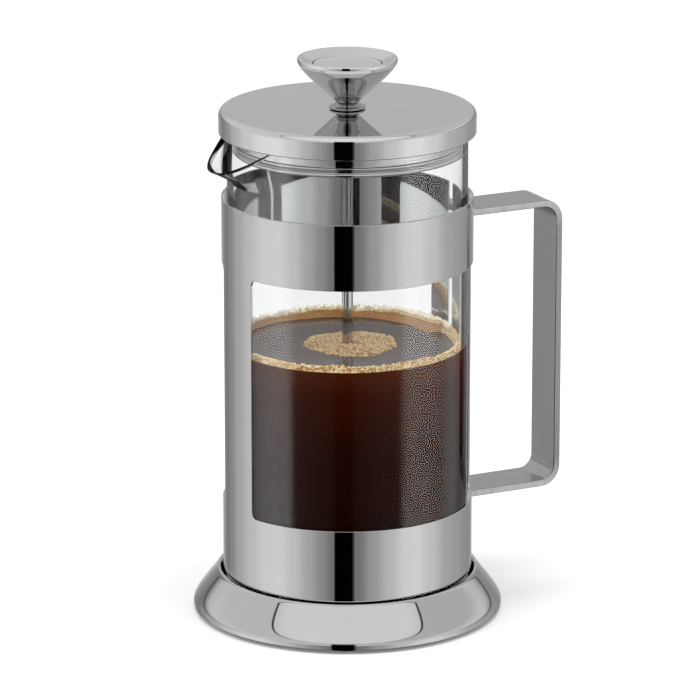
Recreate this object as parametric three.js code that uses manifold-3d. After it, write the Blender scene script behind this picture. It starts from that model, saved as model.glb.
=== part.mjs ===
// A one-litre press for coffee: a glass beaker in a polished steel frame, with a lid, a plunger
// and its filter.
// Millimetres, +Z up. The origin is on the axis of the beaker, at the surface that the press stands on.
// The handle points along +X and the spout along -X.
import * as THREE from "three";
import { mergeVertices } from "three/addons/utils/BufferGeometryUtils.js";
import Module from "manifold-3d";

// ---- Clearances ----
const GAP = 0.3; // between pieces that rest on, or are fixed to, each other
const ROD_FIT = 0.15; // radial clearance of the rod in its bushing
const RING_FIT = 0.4; // radial clearance of the lid's inner skirt in the glass

// ---- Beaker ----
const GLASS_R = 47.9; // outside of the wall
const GLASS_WALL = 2.3;
const GLASS_FLOOR = 2.8;
const GLASS_CORNER = 10; // outside radius between wall and floor
const GLASS_HEIGHT = 186.5;
const SPOUT_RISE = 22.5; // height of the part of the wall that is pulled into the spout
const SPOUT_REACH = 13; // how far the lip stands out
const SPOUT_DIP = 14.5; // how far the rim drops at the lip
const SPOUT_REACH_ANGLE = 32; // degrees from the spout's middle to where the wall is round again
const SPOUT_DIP_ANGLE = 40; // degrees from the spout's middle to where the rim is level again

// ---- Frame ----
const SLEEVE_SPACE = 1.3; // between the glass and the sleeve
const SLEEVE_WALL = 1;
const SLEEVE_BELOW_SPOUT = 7.7; // from the top band up to the start of the spout
const TOP_BAND = 26.5; // height of the top band
const LOWER_BAND_TOP = 46.9; // height of the lower band's upper edge above the table
const WINDOW_CORNER = 2.5;
const FRONT_STRIP = 25; // width of the strip under the spout
const REAR_STRIP = 29.6; // width of the strip behind, with its slit
const REAR_SLIT = 4;

// ---- Handle ----
const HANDLE_DEPTH = 42.1; // from the sleeve to the outer face of the grip
const HANDLE_WIDTH = 19.5;
const HANDLE_BAR = 2.8;
const HANDLE_CORNER = 8.5; // outside radius
const UPPER_ARM_DROP = 9.6; // top face of the upper arm below the sleeve's upper edge
const LOWER_ARM_DROP = 3; // top face of the lower arm below the lower band's upper edge

// ---- Base ----
const PAD_THICKNESS = 1.8;
const FOOT_FLARE = 12.1; // how far the foot stands out from the sleeve
const FOOT_HEIGHT = 17.5;
const FOOT_WALL = 0.8;
const FOOT_EDGE_Z = 6.5; // where the straight flare turns into the rounded edge
const FOOT_EDGE_IN = 1.55; // how far the flare's lower end is inside the widest point
const FOOT_WIDEST_Z = 2.8;
const FOOT_HEM = 5.3; // width of the hem turned in underneath
const FOOT_GROOVE = 0.8; // open groove between the foot's lip and the sleeve
const FOOT_LIP = 1.8;
const FLARE_START = [4, 5.2]; // how far the flare keeps its slope below the lip, outwards and down
const FLARE_END = 2.4; // how far the flare runs upright above its widest point
const FOOT_LIFT = PAD_THICKNESS - FOOT_WALL; // hem above the table
const FLANGE = 2.8; // thickness of the base insert's flange
const BOSS = 5.3; // height of the base insert's boss above its flange
const PLATE = 1.5; // thickness of the frame's floor plate
const CUSHION = 2.4; // thickness of the silicone cushion
const SCREW_CIRCLE = 16; // radius
const SCREW_COUNT = 3;
const SCREW_R = 2;
const SCREW_HEAD_R = 3.6;
const SCREW_HEAD = 1.8;
const SCREW_LENGTH = 9.6; // under the head

// ---- Lid ----
const LID_SPACE = 2.3; // between the glass and the inside of the skirt
const LID_WALL = 1;
const LID_EDGE = 2.5; // outside radius of the lid's edge
const LID_DROP = 4.3; // skirt's lower edge below the rim of the glass
const PAN_WALL = 0.8;
const PAN_DEPTH = 12.4; // inner skirt below the rim of the glass
const LINER = 2.3; // thickness of the liner
const BUSHING_R = 4.1;
const BUSHING_FLANGE_R = 7.2;
const BUSHING_FLANGE = 0.8; // thickness of the flange on the lid
const BUSHING_SHOULDER_R = 5.5; // foot of the cone that stands on the flange
const BUSHING_CONE = 1.6; // height of the cone
const BUSHING_TAIL = 4; // length below the pan
const NUT = 2.6;
const NUT_ACROSS = 12;
const WASHER = 0.6;

// ---- Plunger ----
const ROD_R = 2.2;
const KNOB_R = 20;
const KNOB_HEIGHT = 17.6;
const KNOB_FOOT_R = 5.1;
const KNOB_WALL = 1;
const KNOB_DISH = 2.3; // depth of the dished top
const KNOB_SLOPE = 6.4; // how far the funnel keeps its slope above its foot, outwards and up
const KNOB_TURN = 4.2; // where the funnel has turned upright, below the top
const KNOB_BRIM = 0.9;
const KNOB_CAP_R = 13.5;
const KNOB_CAP = 1.2;
const CORE_R = 4;
const MESH = 0.4; // thickness of the filter cloth
const MESH_RIM = 4.4; // height of its turned-up rim
const CROSS = 0.9; // thickness of the cross plate
const CROSS_INSET = 4.6; // edge of the cross plate inside the glass
const CROSS_ARM = 9; // width of its arms
const CROSS_HUB_R = 9;
const CROSS_RIM = 4.5; // width of its rim
const COIL_R = 2; // outside radius of the coil of the spring
const PRESS = 1; // thickness of the press plate
const PRESS_HOLES = 12;
const PRESS_HOLE_R = 2.6;
const FILTER_LIFT = 6.4; // cross plate above the inside of the glass's floor
const HUB_R = 5.5;
const HUB = 4.6; // height of the hub nut
const COLLAR_R = 4.6;
const COLLAR = 2.8;

// ---- Sides of the round pieces ----
const LARGE = 40;
const MEDIUM = 24;
const SMALL = 16;
const TINY = 10;

// ---- Sizes that follow from the ones above ----
const glassInnerR = GLASS_R - GLASS_WALL;
const sleeveInnerR = GLASS_R + SLEEVE_SPACE;
const sleeveR = sleeveInnerR + SLEEVE_WALL;
const footR = sleeveR + FOOT_FLARE;
const hemInnerR = footR - FOOT_HEM;
const insertR = footR - FOOT_WALL - FOOT_EDGE_IN - 1;

const insertZ = PAD_THICKNESS + GAP;
const sleeveZ = insertZ + FLANGE + GAP;
const plateZ = insertZ + FLANGE + BOSS + GAP;
const cushionZ = plateZ + PLATE + GAP;
const glassZ = cushionZ + CUSHION + GAP;
const rimZ = glassZ + GLASS_HEIGHT;
const spoutZ = rimZ - SPOUT_RISE;
const sleeveTopZ = spoutZ - SLEEVE_BELOW_SPOUT;
const windowZ = [LOWER_BAND_TOP, sleeveTopZ - TOP_BAND];

const panZ = rimZ + GAP;
const linerZ = panZ + PAN_WALL + GAP;
const lidZ = linerZ + LINER + GAP;
const lidTopZ = lidZ + LID_WALL;
const lidInnerR = GLASS_R + LID_SPACE;
const lidR = lidInnerR + LID_WALL;
const bushingBoreR = ROD_R + ROD_FIT;
const bushingHoleR = BUSHING_R + GAP;
const flangeZ = lidTopZ + GAP;
const neckTopZ = flangeZ + BUSHING_FLANGE + BUSHING_CONE;
const knobZ = neckTopZ + GAP;
const knobTopZ = knobZ + KNOB_HEIGHT;

const rodHoleR = ROD_R + GAP;
const crossZ = glassZ + GLASS_FLOOR + FILTER_LIFT;
const meshZ = crossZ + CROSS + GAP;
const meshR = glassInnerR - GAP;
const coilR = meshR - MESH - GAP - COIL_R;
const coilZ = meshZ + MESH + GAP + COIL_R;
const pressR = coilR - COIL_R - GAP;
const pressZ = coilZ - PRESS / 2;
const collarZ = pressZ + PRESS + GAP;
const hubZ = crossZ - GAP - HUB;
const coreZ = knobZ + KNOB_WALL + GAP;
const coreTopZ = knobTopZ - KNOB_DISH - KNOB_CAP - 2 * GAP;

const wasm = await Module();
wasm.setup();

const radians = THREE.MathUtils.degToRad;

// ---- Finishes ----
function finish(color, roughness, metalness) {
  return new THREE.MeshStandardMaterial({ color, roughness, metalness });
}

const POLISHED = finish(0xd4d4d6, 0.08, 1);
const SATIN = finish(0xb4b5b8, 0.32, 1);
const PLASTIC = finish(0x1c1c1e, 0.5, 0);
const RUBBER = finish(0x26262a, 0.8, 0);
const SILICONE = finish(0xd8d8d4, 0.6, 0);
const GLASS = finish(0xe6eef0, 0.03, 0);
GLASS.transparent = true;
GLASS.opacity = 0.3;

// ---- Shapes ----
// A solid of revolution about +Z from a profile of (radius, height) points, which runs anticlockwise.
function turned(profile, sides) {
  const points = profile.map(([r, z]) => new THREE.Vector2(r, z));
  return new THREE.LatheGeometry(points, sides).rotateX(Math.PI / 2);
}

// Points of a cubic curve through its four control points, from the first to the last.
function curve(points, steps) {
  const control = points.map(([r, z]) => new THREE.Vector2(r, z));
  return new THREE.CubicBezierCurve(...control).getPoints(steps).map((p) => [p.x, p.y]);
}

// Points along an arc of a profile, with angles in degrees.
function arc(r, z, radius, from, to, steps) {
  return Array.from({ length: steps + 1 }, (_, i) => {
    const angle = radians(from + ((to - from) * i) / steps);
    return [r + radius * Math.cos(angle), z + radius * Math.sin(angle)];
  });
}

function tube(innerR, outerR, low, high, sides) {
  return turned([[innerR, low], [outerR, low], [outerR, high], [innerR, high], [innerR, low]], sides);
}

function disc(radius, low, high, sides) {
  return turned([[0, low], [radius, low], [radius, high], [0, high]], sides);
}

// A block bounded by two radii, two angles in degrees and two heights. Its arcs have the given
// number of steps.
function sector(innerR, outerR, from, to, low, high, steps) {
  const shape = new THREE.Shape();
  shape.absarc(0, 0, outerR, radians(from), radians(to), false);
  shape.absarc(0, 0, innerR, radians(to), radians(from), true);
  const settings = { depth: high - low, bevelEnabled: false, curveSegments: steps };
  return new THREE.ExtrudeGeometry(shape, settings).translate(0, 0, low);
}

// A round bar that points away from the axis of the press, for cutting the walls around it.
function spoke(radius, innerR, outerR, angle, z) {
  return new THREE.CylinderGeometry(radius, radius, outerR - innerR, TINY)
    .rotateZ(-Math.PI / 2)
    .translate((innerR + outerR) / 2, 0, 0)
    .rotateZ(radians(angle))
    .translate(0, 0, z);
}

// ---- Joining and cutting ----
function solid(geometry) {
  const bare = geometry.clone().deleteAttribute("normal").deleteAttribute("uv");
  const merged = mergeVertices(bare, 1e-4);
  return new wasm.Manifold(new wasm.Mesh({
    numProp: 3,
    vertProperties: merged.attributes.position.array,
    triVerts: new Uint32Array(merged.index.array),
  }));
}

function surface(made) {
  const mesh = made.getMesh();
  return new THREE.BufferGeometry()
    .setAttribute("position", new THREE.BufferAttribute(mesh.vertProperties, 3))
    .setIndex(new THREE.BufferAttribute(mesh.triVerts, 1));
}

function cut(geometry, ...tools) {
  return surface(tools.reduce((left, tool) => left.subtract(solid(tool)), solid(geometry)));
}

function joined(...geometries) {
  return surface(geometries.map(solid).reduce((sum, next) => sum.add(next)));
}

// ---- Scene graph ----
const press = new THREE.Group();

function group() {
  const made = new THREE.Group();
  press.add(made);
  return made;
}

const frame = group();
const beaker = group();
const guide = group();
const lid = group();
const plunger = group();

function piece(parent, name, geometry, material) {
  const mesh = new THREE.Mesh(geometry, material);
  mesh.name = name;
  parent.add(mesh);
  return mesh;
}

// ---- Frame ----
function angleAcross(width, radius) {
  return THREE.MathUtils.radToDeg(2 * Math.asin(width / 2 / radius));
}

// A window with rounded corners in the sleeve, between two angles in degrees.
function windowCutter(from, to) {
  const inner = sleeveInnerR - GAP;
  const outer = sleeveR + GAP;
  const [low, high] = windowZ;
  const turn = angleAcross(2 * WINDOW_CORNER, sleeveR) / 2;
  const heights = [low + WINDOW_CORNER, high - WINDOW_CORNER];
  const corners = [from + turn, to - turn].flatMap((angle) =>
    heights.map((z) => spoke(WINDOW_CORNER, inner - 1, outer + 1, angle, z)));
  return joined(
    sector(inner, outer, from, to, low + WINDOW_CORNER, high - WINDOW_CORNER, MEDIUM),
    sector(inner, outer, from + turn, to - turn, low, high, MEDIUM),
    ...corners,
  );
}

function sleeveShape() {
  const wall = tube(sleeveInnerR, sleeveR, sleeveZ, sleeveTopZ, LARGE);
  const rear = angleAcross(REAR_STRIP, sleeveR) / 2;
  const front = 180 - angleAcross(FRONT_STRIP, sleeveR) / 2;
  const slit = new THREE.BoxGeometry(4 * SLEEVE_WALL, REAR_SLIT, 2 * sleeveTopZ)
    .translate(sleeveR - SLEEVE_WALL, 0, sleeveTopZ / 2);
  return cut(wall, windowCutter(rear, front), windowCutter(-front, -rear), slit);
}

// A flat bar bent into a C. Its arms end square on the sleeve's two bands.
function handleShape() {
  const outerX = sleeveR + HANDLE_DEPTH;
  const innerX = outerX - HANDLE_BAR;
  const top = sleeveTopZ - UPPER_ARM_DROP;
  const bottom = LOWER_BAND_TOP - LOWER_ARM_DROP - HANDLE_BAR;
  const bend = HANDLE_CORNER - HANDLE_BAR;
  const cornerX = outerX - HANDLE_CORNER;
  const start = sleeveR + GAP;
  const outline = new THREE.Shape();
  outline.moveTo(start, bottom);
  outline.absarc(cornerX, bottom + HANDLE_CORNER, HANDLE_CORNER, -Math.PI / 2, 0, false);
  outline.absarc(cornerX, top - HANDLE_CORNER, HANDLE_CORNER, 0, Math.PI / 2, false);
  outline.lineTo(start, top);
  outline.lineTo(start, top - HANDLE_BAR);
  outline.absarc(innerX - bend, top - HANDLE_CORNER, bend, Math.PI / 2, 0, true);
  outline.absarc(innerX - bend, bottom + HANDLE_CORNER, bend, 0, -Math.PI / 2, true);
  outline.lineTo(start, bottom + HANDLE_BAR);
  outline.closePath();
  const settings = { depth: HANDLE_WIDTH, bevelEnabled: false, curveSegments: 8 };
  return new THREE.ExtrudeGeometry(outline, settings)
    .rotateX(Math.PI / 2)
    .translate(0, HANDLE_WIDTH / 2, 0);
}

// The flared foot, a spun shell with a rolled top lip and a hem turned in under the base insert.
function footShape() {
  const lipR = sleeveR + FOOT_GROOVE;
  const lipZ = FOOT_HEIGHT - FOOT_WALL;
  const edgeR = footR - FOOT_EDGE_IN;
  const flare = curve([
    [footR, FOOT_WIDEST_Z],
    [footR, FOOT_WIDEST_Z + FLARE_END],
    [lipR + FOOT_LIP + FLARE_START[0], lipZ - FLARE_START[1]],
    [lipR + FOOT_LIP, lipZ],
  ], 7);
  const outside = [
    [hemInnerR, FOOT_LIFT],
    [footR - FOOT_WIDEST_Z + FOOT_LIFT, FOOT_LIFT],
    ...arc(footR - FOOT_WIDEST_Z + FOOT_LIFT, FOOT_WIDEST_Z, FOOT_WIDEST_Z - FOOT_LIFT, -50, 0, 2),
    ...flare.slice(1),
    [lipR + FOOT_LIP - FOOT_WALL / 2, FOOT_HEIGHT],
  ];
  const inside = [
    [lipR, FOOT_HEIGHT],
    [lipR, lipZ - 1.5 * FOOT_WALL],
    [edgeR - FOOT_WALL, FOOT_EDGE_Z],
    [footR - FOOT_WALL, FOOT_WIDEST_Z],
    [footR - FOOT_WIDEST_Z, FOOT_LIFT + FOOT_WALL],
    [hemInnerR, FOOT_LIFT + FOOT_WALL],
    [hemInnerR, FOOT_LIFT],
  ];
  return turned([...outside, ...inside], LARGE);
}

function screwPlaces() {
  return Array.from({ length: SCREW_COUNT }, (_, i) => {
    const angle = (2 * Math.PI * i) / SCREW_COUNT;
    return [SCREW_CIRCLE * Math.cos(angle), SCREW_CIRCLE * Math.sin(angle)];
  });
}

const headZ = insertZ + GAP;

function screwShape() {
  const top = headZ + SCREW_HEAD;
  return turned([
    [0, headZ + 1],
    [1.2, headZ],
    [SCREW_HEAD_R - 0.6, headZ],
    [SCREW_HEAD_R, headZ + 0.6],
    [SCREW_HEAD_R, top],
    [SCREW_R, top],
    [SCREW_R, top + SCREW_LENGTH - 1],
    [SCREW_R - 1, top + SCREW_LENGTH],
    [0, top + SCREW_LENGTH],
  ], TINY);
}

// The black moulding that closes the foot and carries the frame's floor, hollow on its underside.
function insertShape() {
  const flangeTop = insertZ + FLANGE;
  const top = flangeTop + BOSS;
  const bossR = sleeveInnerR - 2 * GAP;
  const wall = 4.6;
  const hubR = SCREW_CIRCLE + SCREW_HEAD_R + 2.4;
  const body = turned([
    [0, insertZ], [hubR, insertZ], [hubR, top - 2], [bossR - wall, top - 2], [bossR - wall, insertZ],
    [insertR, insertZ], [insertR, flangeTop], [bossR, flangeTop], [bossR, top], [0, top],
  ], LARGE);
  const bores = screwPlaces().flatMap(([x, y]) => [
    disc(SCREW_R + GAP, insertZ - 1, top + 1, TINY).translate(x, y, 0),
    disc(SCREW_HEAD_R + GAP, insertZ - 1, headZ + SCREW_HEAD + GAP, TINY).translate(x, y, 0),
  ]);
  return cut(body, ...bores);
}

function plateShape() {
  const plate = disc(sleeveInnerR - GAP, plateZ, plateZ + PLATE, LARGE);
  const holes = screwPlaces().map(([x, y]) =>
    disc(SCREW_R + GAP, plateZ - 1, plateZ + PLATE + 1, TINY).translate(x, y, 0));
  return cut(plate, ...holes);
}

function buildFrame() {
  piece(frame, "frame_sleeve", sleeveShape(), POLISHED);
  piece(frame, "handle", handleShape(), SATIN);
  piece(frame, "foot_ring", footShape(), POLISHED);
  piece(frame, "base_insert", insertShape(), PLASTIC);
  piece(frame, "floor_plate", plateShape(), SATIN);
  piece(frame, "base_pad", disc(hemInnerR - 2 * GAP, 0, PAD_THICKNESS, LARGE), RUBBER);
  const cushionInnerR = SCREW_CIRCLE + SCREW_R + 6;
  const cushion = tube(cushionInnerR, GLASS_R - GLASS_CORNER + 2, cushionZ, cushionZ + CUSHION, LARGE);
  piece(frame, "glass_cushion", cushion, SILICONE);
  screwPlaces().forEach(([x, y], i) => {
    piece(frame, `base_screw_${i + 1}`, screwShape(), SATIN).position.set(x, y, 0);
  });
}

// ---- Beaker ----
// A weight of 1 in the middle of the spout that fades to 0 at the given angle in degrees from it.
function spoutWeight(x, y, halfAngle) {
  const away = Math.abs(Math.atan2(y, -x)) / radians(halfAngle);
  return away < 1 ? Math.cos((away * Math.PI) / 2) ** 2 : 0;
}

function pullSpout(geometry) {
  const position = geometry.attributes.position;
  for (let i = 0; i < position.count; i++) {
    const [x, y, z] = [position.getX(i), position.getY(i), position.getZ(i)];
    const height = (z - spoutZ) / SPOUT_RISE;
    const radius = Math.hypot(x, y);
    if (height <= 0 || radius === 0) continue;
    const pulled = SPOUT_REACH * height ** 1.4 * spoutWeight(x, y, SPOUT_REACH_ANGLE);
    const dropped = SPOUT_DIP * height * spoutWeight(x, y, SPOUT_DIP_ANGLE);
    const scale = (radius + pulled) / radius;
    position.setXYZ(i, x * scale, y * scale, z - dropped);
  }
  return geometry;
}

function glassShape() {
  const innerCorner = GLASS_CORNER - GLASS_WALL;
  const floorTop = glassZ + GLASS_FLOOR;
  const steps = [0, 0.3, 0.5, 0.7, 0.85].map((share) => spoutZ + SPOUT_RISE * share);
  const edge = 0.7;
  const outside = [
    [0, glassZ],
    ...arc(GLASS_R - GLASS_CORNER, glassZ + GLASS_CORNER, GLASS_CORNER, -90, 0, 4),
    ...steps.map((z) => [GLASS_R, z]),
    [GLASS_R, rimZ - edge],
    [GLASS_R - edge, rimZ],
  ];
  const inside = [
    [glassInnerR + edge, rimZ],
    [glassInnerR, rimZ - edge],
    ...steps.reverse().map((z) => [glassInnerR, z]),
    ...arc(glassInnerR - innerCorner, floorTop + innerCorner, innerCorner, 0, -90, 4),
    [0, floorTop],
  ];
  return pullSpout(turned([...outside, ...inside], LARGE));
}

function buildBeaker() {
  piece(beaker, "glass_beaker", glassShape(), GLASS);
}

// ---- Lid ----
function lidShellShape() {
  const hole = bushingHoleR;
  const edgeCentre = lidR - LID_EDGE;
  const skirtZ = rimZ - LID_DROP;
  return turned([
    [hole, lidZ],
    ...arc(edgeCentre, lidTopZ - LID_EDGE, LID_EDGE - LID_WALL, 90, 0, 2),
    [lidInnerR, skirtZ],
    [lidR, skirtZ],
    ...arc(edgeCentre, lidTopZ - LID_EDGE, LID_EDGE, 0, 90, 4),
    [hole, lidTopZ],
    [hole, lidZ],
  ], LARGE);
}

// The inner plate of the lid: it rests on the rim of the glass, and its skirt hangs inside it.
function panShape() {
  const skirtR = glassInnerR - RING_FIT;
  const skirtInnerR = skirtR - PAN_WALL;
  const low = rimZ - PAN_DEPTH;
  const top = panZ + PAN_WALL;
  const outer = lidInnerR - 2 * GAP;
  const bead = 0.4;
  return turned([
    [bushingHoleR, panZ], [skirtInnerR, panZ], [skirtInnerR, low + 2], [skirtInnerR - bead, low + 1],
    [skirtInnerR, low], [skirtR - bead, low], [skirtR, low + 1], [skirtR - bead, low + 2],
    [skirtR - bead, panZ], [outer, panZ], [outer, top], [bushingHoleR, top], [bushingHoleR, panZ],
  ], LARGE);
}

function linerShape() {
  const outer = lidInnerR - LID_EDGE + LID_WALL;
  return tube(bushingHoleR, outer, linerZ, linerZ + LINER, LARGE);
}

function bushingShape() {
  const tailZ = panZ - BUSHING_TAIL;
  const edge = BUSHING_FLANGE / 2;
  return turned([
    [bushingBoreR, tailZ],
    [BUSHING_R, tailZ],
    [BUSHING_R, flangeZ],
    ...arc(BUSHING_FLANGE_R - edge, flangeZ + edge, edge, -90, 90, 4),
    [BUSHING_SHOULDER_R, flangeZ + BUSHING_FLANGE],
    [BUSHING_R, neckTopZ],
    [bushingBoreR, neckTopZ],
    [bushingBoreR, tailZ],
  ], SMALL);
}

function hexNut(across, innerR, low, high) {
  const prism = disc(across / Math.sqrt(3), low, high, 6);
  return cut(prism, disc(innerR, low - 1, high + 1, SMALL));
}

function buildLid() {
  piece(lid, "lid_shell", lidShellShape(), POLISHED);
  piece(lid, "lid_liner", linerShape(), PLASTIC);
  piece(lid, "lid_pan", panShape(), POLISHED);
  const washerZ = panZ - GAP - WASHER;
  piece(guide, "lid_bushing", bushingShape(), POLISHED);
  const washer = tube(bushingHoleR, NUT_ACROSS / 2 + 1.5, washerZ, washerZ + WASHER, SMALL);
  const nut = hexNut(NUT_ACROSS, bushingHoleR, washerZ - GAP - NUT, washerZ - GAP);
  piece(guide, "bushing_washer", washer, SATIN);
  piece(guide, "bushing_nut", nut, SATIN);
}

// ---- Plunger ----
// The outside of the knob: a funnel that opens from its foot to an upright brim.
function knobSide(inset, steps) {
  const side = curve([
    [KNOB_FOOT_R, knobZ],
    [KNOB_FOOT_R + KNOB_SLOPE, knobZ + KNOB_SLOPE],
    [KNOB_R, knobTopZ - KNOB_TURN],
    [KNOB_R, knobTopZ - KNOB_BRIM],
  ], steps);
  return side.map(([r, z]) => [r - inset, z]);
}

function knobShellShape() {
  const dishZ = knobTopZ - KNOB_DISH;
  const rimR = KNOB_R - KNOB_BRIM;
  const inside = knobSide(1.6 * KNOB_WALL, 8).reverse();
  return turned([
    [rodHoleR, knobZ],
    ...knobSide(0, 10),
    [rimR + 0.6, knobTopZ - 0.15],
    [rimR, knobTopZ],
    [KNOB_CAP_R + GAP, dishZ],
    [KNOB_CAP_R + GAP, dishZ - KNOB_WALL],
    ...inside.filter(([r, z]) => z > knobZ + KNOB_WALL && z < dishZ - KNOB_WALL - 0.5),
    [CORE_R + 1, knobZ + KNOB_WALL],
    [rodHoleR, knobZ + KNOB_WALL],
    [rodHoleR, knobZ],
  ], MEDIUM);
}

function knobCapShape() {
  const top = knobTopZ - KNOB_DISH;
  return turned([
    [0, top - KNOB_CAP],
    [KNOB_CAP_R, top - KNOB_CAP],
    [KNOB_CAP_R, top - 0.3],
    [KNOB_CAP_R - 0.4, top],
    [0, top],
  ], MEDIUM);
}

// A plate with a hole for the rod and a ring of drain holes, which carries the coil spring on its edge.
function pressPlateShape() {
  const plate = tube(rodHoleR, pressR, pressZ, pressZ + PRESS, LARGE);
  const hole = disc(PRESS_HOLE_R, pressZ - 1, pressZ + PRESS + 1, 8);
  const holes = Array.from({ length: PRESS_HOLES }, (_, i) => {
    const angle = (2 * Math.PI * i) / PRESS_HOLES;
    return hole.clone().translate(0.68 * pressR * Math.cos(angle), 0.68 * pressR * Math.sin(angle), 0);
  });
  return cut(plate, ...holes);
}

// A ring of coils, as the closed solid that the wound wire fills.
function springShape() {
  return turned(arc(coilR, coilZ, COIL_R, 0, 360, 8), LARGE);
}

function meshShape() {
  const innerR = meshR - MESH;
  const rimTop = meshZ + MESH_RIM;
  return turned([
    [rodHoleR, meshZ], [meshR - 1, meshZ], [meshR, meshZ + 1], [meshR, rimTop],
    [innerR, rimTop], [innerR, meshZ + 1 + MESH / 2], [meshR - 1 - MESH / 2, meshZ + MESH],
    [rodHoleR, meshZ + MESH], [rodHoleR, meshZ],
  ], LARGE);
}

// A wheel with four arms that carries the mesh from below.
function crossPlateShape() {
  const outer = glassInnerR - CROSS_INSET;
  const plate = tube(rodHoleR, outer, crossZ, crossZ + CROSS, LARGE);
  const rimInner = outer - CROSS_RIM;
  const gaps = [0, 90, 180, 270].map((turn) => {
    const low = turn + angleAcross(CROSS_ARM, CROSS_HUB_R + rimInner) / 2 + 4;
    return sector(CROSS_HUB_R, rimInner, low, 2 * turn + 90 - low, crossZ - 1, crossZ + CROSS + 1, 5);
  });
  return cut(plate, ...gaps);
}

function rodShape() {
  const low = hubZ + 0.5;
  const top = coreTopZ - 1;
  const chamfer = 0.5;
  return turned([
    [0, low],
    [ROD_R - chamfer, low],
    [ROD_R, low + chamfer],
    [ROD_R, top - chamfer],
    [ROD_R - chamfer, top],
    [0, top],
  ], SMALL);
}

function buildPlunger() {
  piece(plunger, "plunger_rod", rodShape(), POLISHED);
  piece(plunger, "knob_shell", knobShellShape(), POLISHED);
  piece(plunger, "knob_cap", knobCapShape(), POLISHED);
  piece(plunger, "knob_core", tube(rodHoleR, CORE_R, coreZ, coreTopZ, SMALL), PLASTIC);
  piece(plunger, "rod_collar", hexNut(2 * COLLAR_R, rodHoleR, collarZ, collarZ + COLLAR), SATIN);
  piece(plunger, "press_plate", pressPlateShape(), SATIN);
  piece(plunger, "filter_spring", springShape(), SATIN);
  piece(plunger, "mesh_filter", meshShape(), SATIN);
  piece(plunger, "cross_plate", crossPlateShape(), SATIN);
  piece(plunger, "hub_nut", tube(rodHoleR, HUB_R, hubZ, hubZ + HUB, SMALL), SATIN);
}

buildFrame();
buildBeaker();
buildLid();
buildPlunger();

export default press;
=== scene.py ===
"""A one-litre coffee press on a white table: steel frame, glass beaker, coffee, foam, lid and plunger.

Metres, +Z up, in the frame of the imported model. The axis of the press is the Z axis, the handle points along
+X and the spout along -X.
"""

import math
import random

import bmesh
import bpy
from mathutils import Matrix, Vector
from mathutils.geometry import tessellate_polygon


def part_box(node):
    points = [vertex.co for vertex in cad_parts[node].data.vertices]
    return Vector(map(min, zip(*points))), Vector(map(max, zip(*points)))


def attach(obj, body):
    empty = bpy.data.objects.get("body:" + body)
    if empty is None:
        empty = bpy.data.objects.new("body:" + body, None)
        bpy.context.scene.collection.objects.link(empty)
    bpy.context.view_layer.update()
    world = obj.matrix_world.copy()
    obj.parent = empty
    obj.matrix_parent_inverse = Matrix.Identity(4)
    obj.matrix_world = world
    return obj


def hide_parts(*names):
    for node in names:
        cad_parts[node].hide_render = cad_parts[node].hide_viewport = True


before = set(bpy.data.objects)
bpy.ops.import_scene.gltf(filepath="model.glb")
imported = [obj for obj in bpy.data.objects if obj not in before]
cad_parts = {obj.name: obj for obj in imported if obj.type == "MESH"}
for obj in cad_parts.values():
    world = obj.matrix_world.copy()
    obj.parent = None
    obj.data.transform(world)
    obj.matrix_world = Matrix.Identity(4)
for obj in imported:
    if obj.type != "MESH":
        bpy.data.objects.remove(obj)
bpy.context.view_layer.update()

MM = 0.001
TURN = 2 * math.pi

# ---- Sizes, from the frame where a node's box gives them ----


def low(node):
    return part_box(node)[0]


def high(node):
    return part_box(node)[1]


SLEEVE_R = high("frame_sleeve").y
SLEEVE_WALL = 1.0 * MM
SLEEVE_Z = (low("frame_sleeve").z, high("frame_sleeve").z)
WINDOW_Z = (46.9 * MM, 144.8 * MM)
WINDOW_CORNER = 2.5 * MM
FRONT_STRIP = 25.0 * MM
REAR_STRIP = 29.6 * MM
REAR_SLIT = 4.0 * MM

GLASS_R = high("glass_beaker").x
GLASS_WALL = 2.3 * MM
GLASS_Z = (low("glass_beaker").z, high("glass_beaker").z)
GLASS_FLOOR = 2.8 * MM
GLASS_CORNER = 10 * MM
GLASS_INNER_R = GLASS_R - GLASS_WALL
SPOUT_RISE = 22.5 * MM
SPOUT_REACH = -low("glass_beaker").x - GLASS_R
SPOUT_DIP = 14.5 * MM
SPOUT_REACH_ANGLE = math.radians(32)
SPOUT_DIP_ANGLE = math.radians(40)

HANDLE_Z = (low("handle").z + high("handle").z) / 2
HANDLE_HALF = (high("handle").z - low("handle").z) / 2

COFFEE_Z = 110 * MM
ROD_R = high("plunger_rod").x
ROD_HOLE = 2.5 * MM
BUSHING_BORE = 2.35 * MM
BUSHING_R = 4.1 * MM
LID_HOLE = 4.4 * MM

# Angles about the axis, from the handle: where the collar of foam is widest, and its far side.
FOAM_WIDEST = math.radians(-1.5)
FOAM_BEHIND = math.radians(63.5)

# ---- Camera: a long lens, 2 m from the press ----
VIEW_AZIMUTH = math.radians(-26.5)
VIEW_ELEVATION = math.radians(15.71)
VIEW_DISTANCE = 2.0
AIM = Vector((0, 0, 110 * MM))
SENSOR = 36.0
LENS = 257.1
SHIFT_X = 0.0037143
SHIFT_Y = -0.0095714


def placed(name, data):
    """A new object in the scene."""
    made = bpy.data.objects.new(name, data)
    bpy.context.scene.collection.objects.link(made)
    return made


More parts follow.
